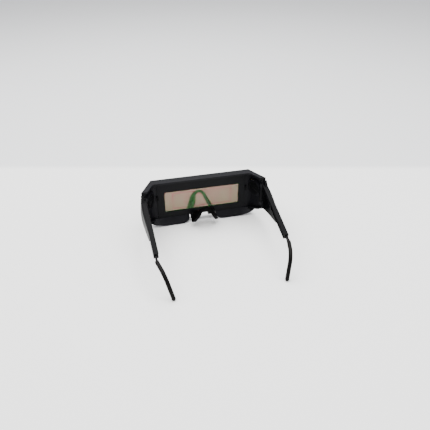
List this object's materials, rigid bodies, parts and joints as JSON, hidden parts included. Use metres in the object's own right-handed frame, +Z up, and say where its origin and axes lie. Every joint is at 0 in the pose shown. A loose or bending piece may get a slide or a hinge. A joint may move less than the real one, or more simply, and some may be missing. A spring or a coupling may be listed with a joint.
{
  "type": "auto-darkening welding goggles",
  "caption": "Auto-darkening welding goggles with a solar filter cartridge, hinged side-shield temples, sliding ear arms and a soft nose piece.",
  "frame": {"origin": "centre of the footprint of the opened goggles, on the surface they stand on", "axes": "+X towards the wearer's left, -Y out of the front of the filter, +Z up"},
  "size_m": [0.1584, 0.1498, 0.0596],
  "materials": {
    "housing_plastic": "fine-grained black moulded plastic",
    "bezel_plastic": "smooth black moulded plastic",
    "clear_polycarbonate": "clear polished sheet",
    "foam_seal": "closed-cell foam",
    "cartridge_plastic": "fine-grained black moulded plastic",
    "filter_glass": "dark green glass",
    "mirror_glass": "pale copper-pink interference mirror over green glass",
    "clear_film": "clear protective film",
    "solar_silicon": "dark blue-black cells with fine lines",
    "board_laminate": "green solder resist",
    "chip_resin": "black moulding resin",
    "sensor_lens": "dark red infrared-passing resin",
    "bracket_plastic": "black moulded plastic",
    "soft_nose_rubber": "soft matt black elastomer",
    "cell_steel": "stamped stainless steel",
    "cap_plastic": "fine-grained black moulded plastic",
    "contact_brass": "spring brass",
    "pin_steel": "turned steel",
    "temple_plastic": "satin black moulded plastic",
    "cover_plastic": "black moulded plastic",
    "arm_plastic": "satin black nylon",
    "sleeve_rubber": "soft matt black rubber"
  },
  "bodies": {
    "housing": {"front_housing": "housing_plastic", "lens_bezel": "bezel_plastic", "cover_lens": "clear_polycarbonate", "light_seal": "foam_seal", "cartridge_front_case": "cartridge_plastic", "cartridge_rear_case": "cartridge_plastic", "liquid_crystal_cell_front": "filter_glass", "liquid_crystal_cell_rear": "filter_glass", "interference_filter_glass": "mirror_glass", "inner_film": "clear_film", "solar_cell_strip": "solar_silicon", "circuit_board": "board_laminate", "board_components": "chip_resin", "arc_sensors": "sensor_lens", "nose_bracket": "bracket_plastic", "nose_piece": "soft_nose_rubber", "cartridge_clip_left": "bracket_plastic", "coin_cell_left": "cell_steel", "cell_cap_left": "cap_plastic", "cell_contact_left": "contact_brass", "hinge_pin_left": "pin_steel", "cartridge_clip_right": "bracket_plastic", "coin_cell_right": "cell_steel", "cell_cap_right": "cap_plastic", "cell_contact_right": "contact_brass", "hinge_pin_right": "pin_steel"},
    "temple_left": {"temple_blade_left": "temple_plastic", "channel_cover_left": "cover_plastic"},
    "ear_end_left": {"ear_arm_left": "arm_plastic", "ear_sleeve_left": "sleeve_rubber"},
    "temple_right": {"temple_blade_right": "temple_plastic", "channel_cover_right": "cover_plastic"},
    "ear_end_right": {"ear_arm_right": "arm_plastic", "ear_sleeve_right": "sleeve_rubber"}
  },
  "joints": [
    {"name": "temple_hinge_left", "type": "hinge", "parent": "housing", "child": "temple_left", "pos_m": [0.0716, -0.0488, 0.0364], "axis": [0, 0, 1], "range_deg": [0, 86]},
    {"name": "ear_slide_left", "type": "slide", "parent": "temple_left", "child": "ear_end_left", "axis": [-0.0239, 0.9764, -0.2147], "range_m": [-0.0065, 0.012]},
    {"name": "temple_hinge_right", "type": "hinge", "parent": "housing", "child": "temple_right", "pos_m": [-0.0716, -0.0488, 0.0364], "axis": [0, 0, -1], "range_deg": [0, 78]},
    {"name": "ear_slide_right", "type": "slide", "parent": "temple_right", "child": "ear_end_right", "axis": [0.0239, 0.9764, -0.2147], "range_m": [-0.0065, 0.012]}
  ]
}
